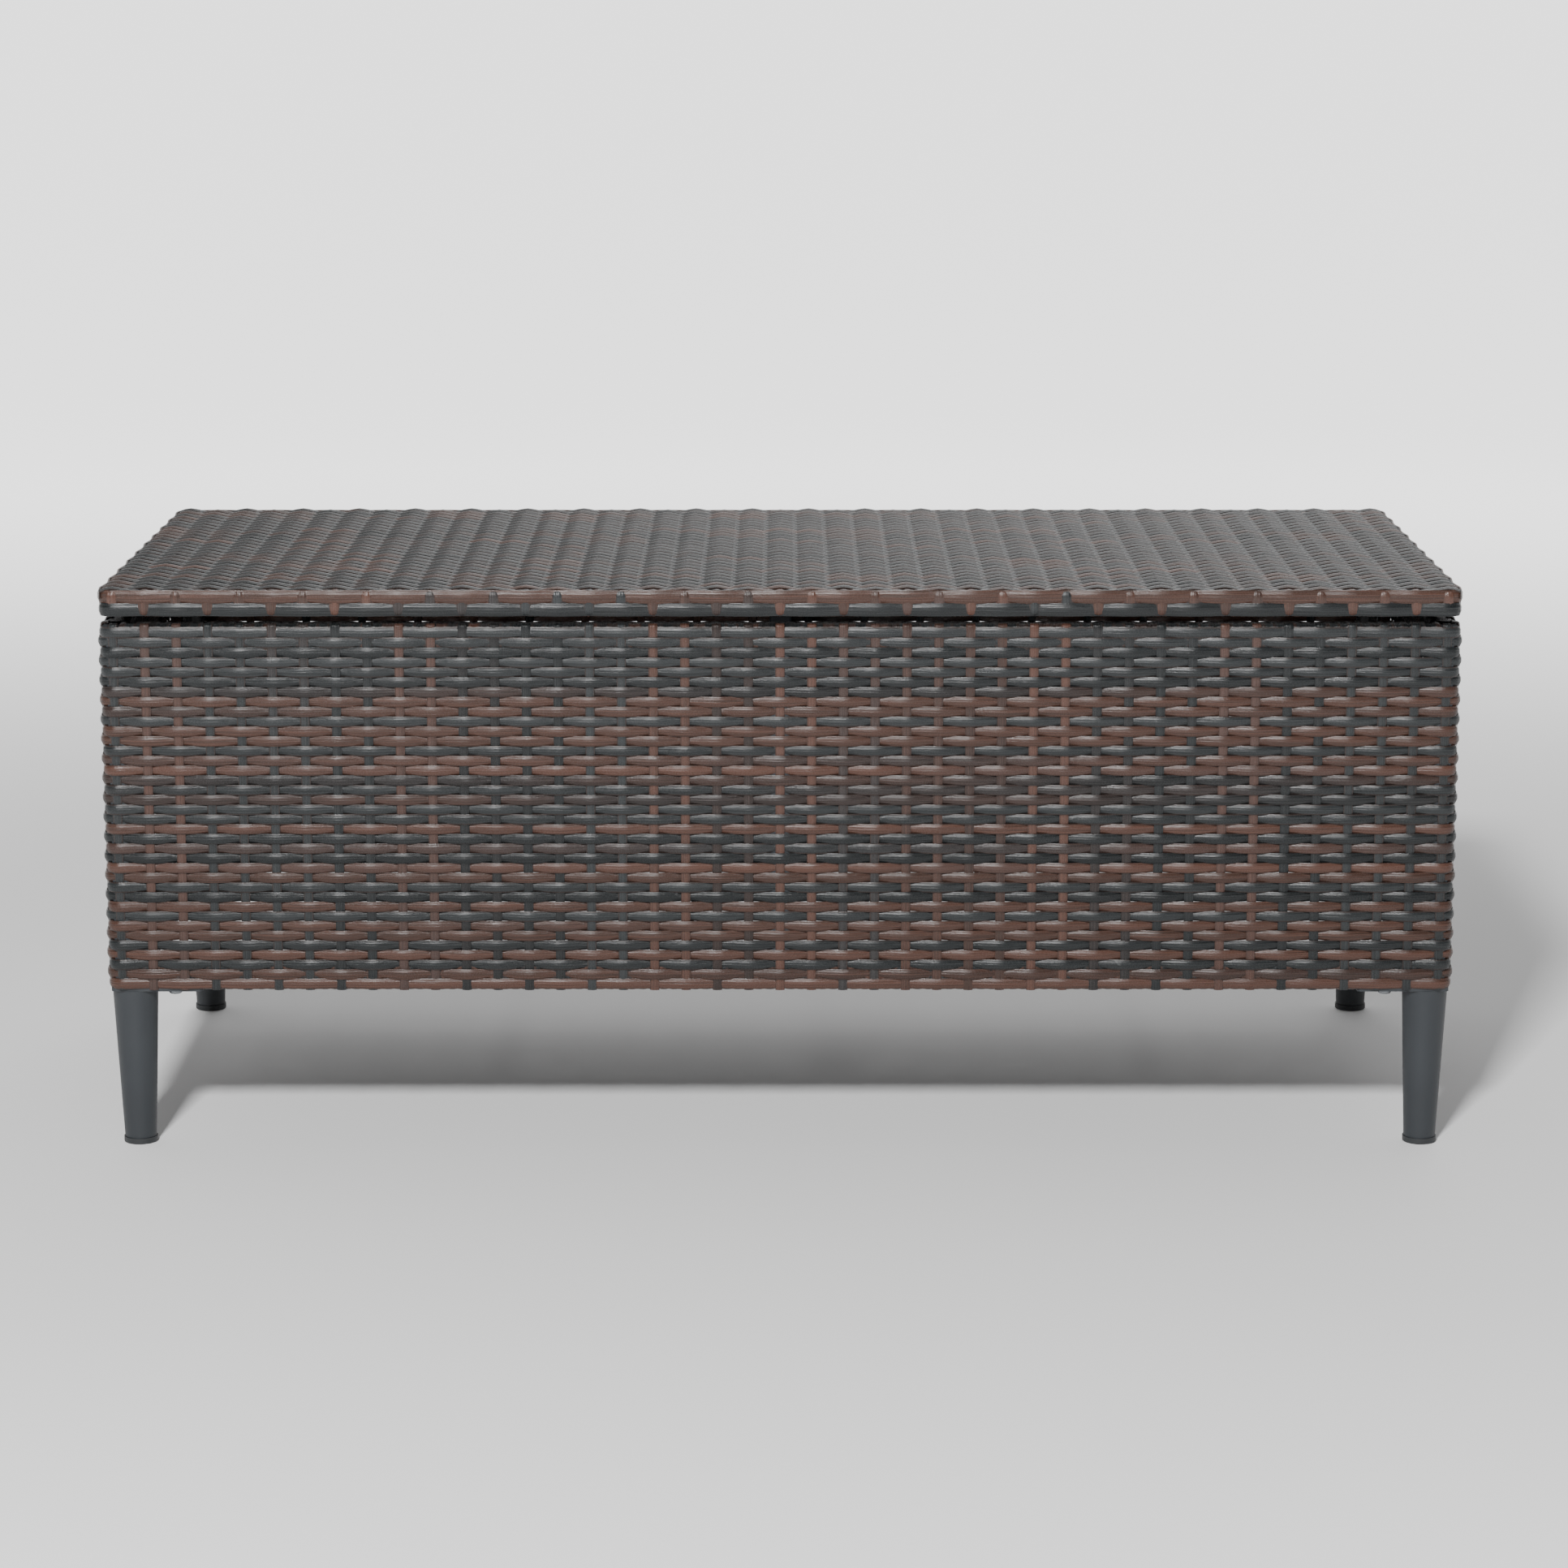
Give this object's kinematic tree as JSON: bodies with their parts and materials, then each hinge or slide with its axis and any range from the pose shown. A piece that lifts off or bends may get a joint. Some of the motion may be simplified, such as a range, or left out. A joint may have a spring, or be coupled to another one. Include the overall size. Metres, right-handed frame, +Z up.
{
  "type": "woven storage coffee table",
  "caption": "Low rectangular garden storage table: woven box on tapered legs with a lift-up woven lid held by gas struts.",
  "frame": {"origin": "on the floor under the centre of the table", "axes": "+X along the length to the right, +Y towards the hinged back, +Z up"},
  "size_m": [1.1, 0.5, 0.463],
  "materials": {
    "weave": "satin woven flat strand, mixed dark grey and brown",
    "frame_paint": "dark slate powder coat, semi-matte",
    "floor_wire": "dark powder coat",
    "foot_plastic": "moulded, matte",
    "bolt_steel": "dark plated",
    "hinge_steel": "zinc plated",
    "strut_cylinder": "black gloss paint",
    "strut_rod": "polished",
    "bumper_rubber": "matte"
  },
  "bodies": {
    "box": {"bumpers": "bumper_rubber", "cross_bar_left": "frame_paint", "cross_bar_middle": "frame_paint", "cross_bar_right": "frame_paint", "floor_grid": "floor_wire", "foot_back_left": "foot_plastic", "foot_back_right": "foot_plastic", "foot_front_left": "foot_plastic", "foot_front_right": "foot_plastic", "hinge_left_box_leaf": "hinge_steel", "hinge_pins": "hinge_steel", "hinge_right_box_leaf": "hinge_steel", "hinge_rivets_box": "hinge_steel", "leg_back_left": "frame_paint", "leg_back_right": "frame_paint", "leg_bolts": "bolt_steel", "leg_front_left": "frame_paint", "leg_front_right": "frame_paint", "leg_nuts": "bolt_steel", "leg_plate_back_left": "frame_paint", "leg_plate_back_right": "frame_paint", "leg_plate_front_left": "frame_paint", "leg_plate_front_right": "frame_paint", "panel_back": "weave", "panel_front": "weave", "panel_left": "weave", "panel_right": "weave", "post_back_left": "frame_paint", "post_back_right": "frame_paint", "post_front_left": "frame_paint", "post_front_right": "frame_paint", "rail_bottom_back": "frame_paint", "rail_bottom_front": "frame_paint", "rail_bottom_left": "frame_paint", "rail_bottom_right": "frame_paint", "rail_top_back": "frame_paint", "rail_top_front": "frame_paint", "rail_top_left": "frame_paint", "rail_top_right": "frame_paint", "strut_left_box_bracket": "frame_paint", "strut_right_box_bracket": "frame_paint", "upright_back": "frame_paint", "upright_front": "frame_paint"},
    "lid": {"hinge_left_lid_leaf": "hinge_steel", "hinge_right_lid_leaf": "hinge_steel", "hinge_rivets_lid": "hinge_steel", "lid_bar_left": "frame_paint", "lid_bar_middle": "frame_paint", "lid_bar_right": "frame_paint", "lid_rail_back": "frame_paint", "lid_rail_front": "frame_paint", "lid_rail_left": "frame_paint", "lid_rail_right": "frame_paint", "lid_weave": "weave", "strut_left_lid_bracket": "frame_paint", "strut_right_lid_bracket": "frame_paint"},
    "strut_left_cylinder": {"strut_left_cylinder": "strut_cylinder"},
    "strut_left_rod": {"strut_left_rod": "strut_rod"},
    "strut_right_cylinder": {"strut_right_cylinder": "strut_cylinder"},
    "strut_right_rod": {"strut_right_rod": "strut_rod"}
  },
  "joints": [
    {"name": "lid_hinge", "type": "hinge", "parent": "box", "child": "lid", "pos_m": [0, 0.247, 0.437], "axis": [-1, 0, 0], "range_deg": [0, 80]},
    {"name": "strut_left_lower_eye", "type": "hinge", "parent": "box", "child": "strut_left_cylinder", "pos_m": [-0.5145, 0.18524, 0.24677], "axis": [-1, 0, 0], "range_deg": [0, 40]},
    {"name": "strut_left_upper_eye", "type": "hinge", "parent": "lid", "child": "strut_left_rod", "pos_m": [-0.5145, 0.04749, 0.423], "axis": [-1, 0, 0], "range_deg": [-40, 0]},
    {"name": "strut_right_lower_eye", "type": "hinge", "parent": "box", "child": "strut_right_cylinder", "pos_m": [0.5145, 0.18524, 0.24677], "axis": [-1, 0, 0], "range_deg": [0, 40]},
    {"name": "strut_right_upper_eye", "type": "hinge", "parent": "lid", "child": "strut_right_rod", "pos_m": [0.5145, 0.04749, 0.423], "axis": [-1, 0, 0], "range_deg": [-40, 0]}
  ],
  "couplings": [
    {"joint": "strut_left_lower_eye", "follows": "lid_hinge", "ratio": 0.5},
    {"joint": "strut_left_upper_eye", "follows": "lid_hinge", "ratio": -0.5},
    {"joint": "strut_right_lower_eye", "follows": "lid_hinge", "ratio": 0.5},
    {"joint": "strut_right_upper_eye", "follows": "lid_hinge", "ratio": -0.5}
  ]
}
